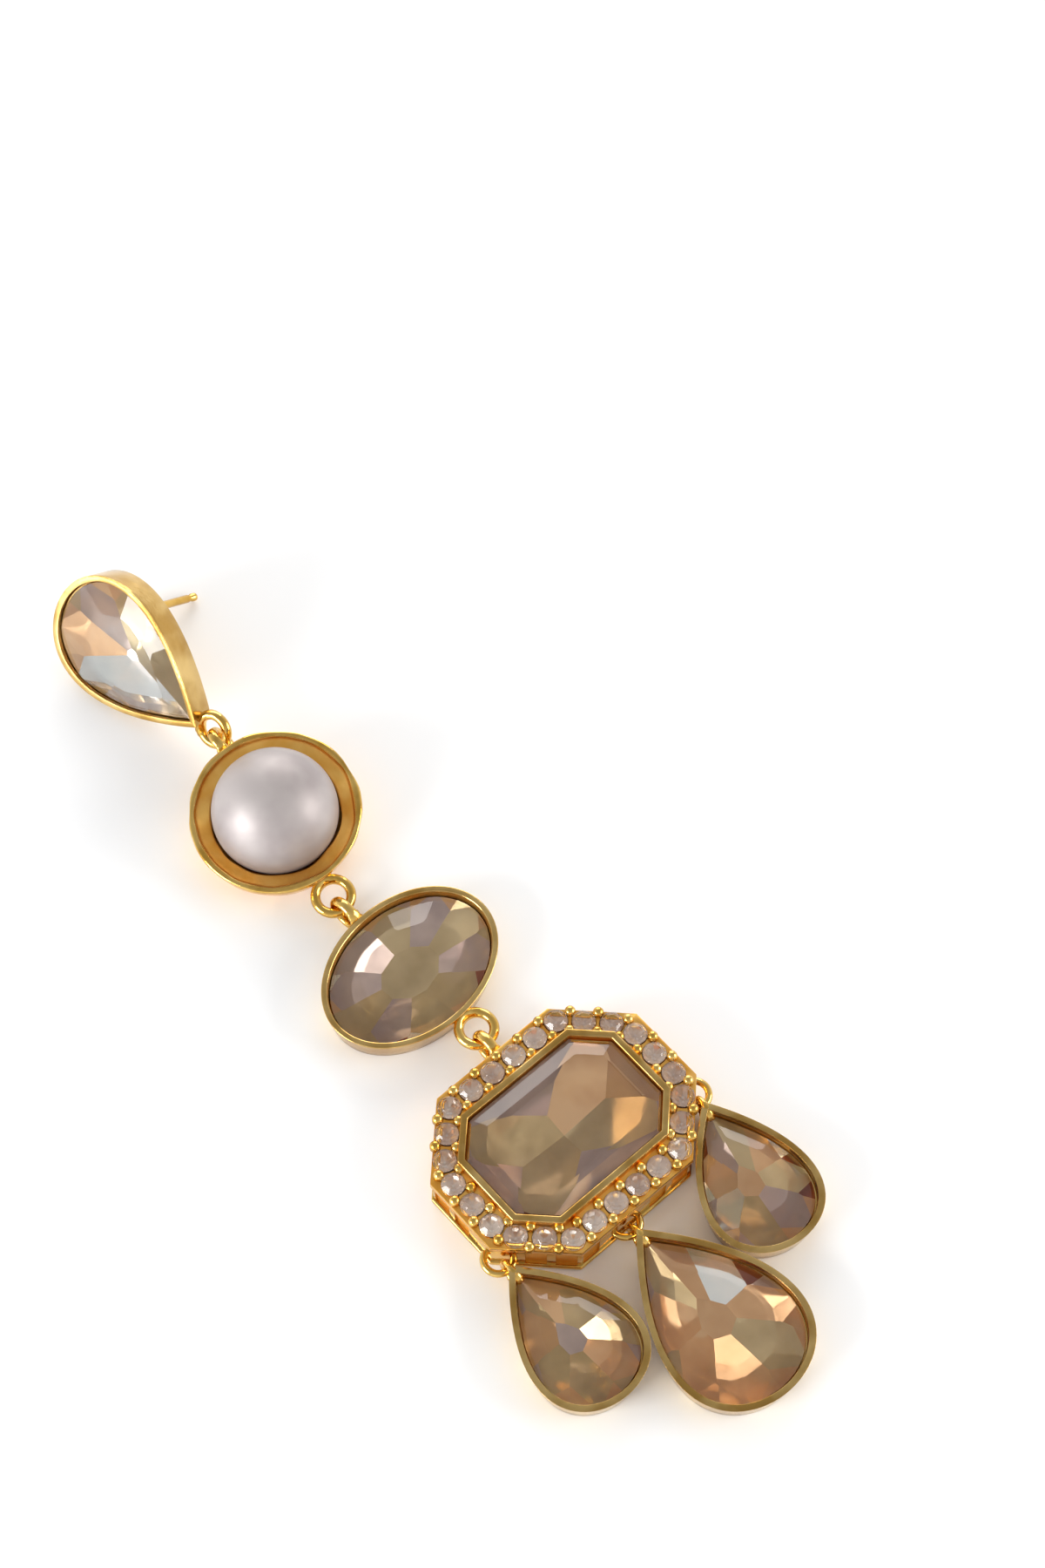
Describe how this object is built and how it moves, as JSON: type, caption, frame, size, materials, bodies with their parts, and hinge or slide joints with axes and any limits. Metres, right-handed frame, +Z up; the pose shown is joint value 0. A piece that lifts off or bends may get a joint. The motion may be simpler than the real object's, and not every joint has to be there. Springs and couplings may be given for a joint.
{
  "type": "chandelier earring",
  "caption": "Gold-tone chandelier earring: pear stud with ear post, pearl, oval crystal and octagon crystal in a halo of small stones, hooked in a chain that ends in pear drops",
  "frame": {"origin": "under the middle of the earring's bounding box, on the surface that it lies on", "axes": "+Y runs up the chain from the drops to the stud, +X across it to the ear post's side, +Z up from the surface, out of the stones' faces"},
  "size_m": [0.0336, 0.1064, 0.0135],
  "materials": {
    "gold_metal": "polished",
    "champagne_crystal": "polished",
    "small_crystal": "polished",
    "pearl": "satin"
  },
  "bodies": {
    "root": {"stud_setting": "gold_metal", "pearl_setting": "gold_metal", "oval_setting": "gold_metal", "halo_frame": "gold_metal", "left_drop_setting": "gold_metal", "centre_drop_setting": "gold_metal", "right_drop_setting": "gold_metal", "stud_stone": "champagne_crystal", "oval_stone": "champagne_crystal", "octagon_stone": "champagne_crystal", "left_drop_stone": "champagne_crystal", "centre_drop_stone": "champagne_crystal", "right_drop_stone": "champagne_crystal", "halo_stone_01": "small_crystal", "halo_stone_02": "small_crystal", "halo_stone_03": "small_crystal", "halo_stone_04": "small_crystal", "halo_stone_05": "small_crystal", "halo_stone_06": "small_crystal", "halo_stone_07": "small_crystal", "halo_stone_08": "small_crystal", "halo_stone_09": "small_crystal", "halo_stone_10": "small_crystal", "halo_stone_11": "small_crystal", "halo_stone_12": "small_crystal", "halo_stone_13": "small_crystal", "halo_stone_14": "small_crystal", "halo_stone_15": "small_crystal", "halo_stone_16": "small_crystal", "halo_stone_17": "small_crystal", "halo_stone_18": "small_crystal", "halo_stone_19": "small_crystal", "halo_stone_20": "small_crystal", "halo_stone_21": "small_crystal", "halo_stone_22": "small_crystal", "halo_stone_23": "small_crystal", "halo_stone_24": "small_crystal", "halo_stone_25": "small_crystal", "halo_stone_26": "small_crystal", "pearl": "pearl"}
  },
  "joints": []
}
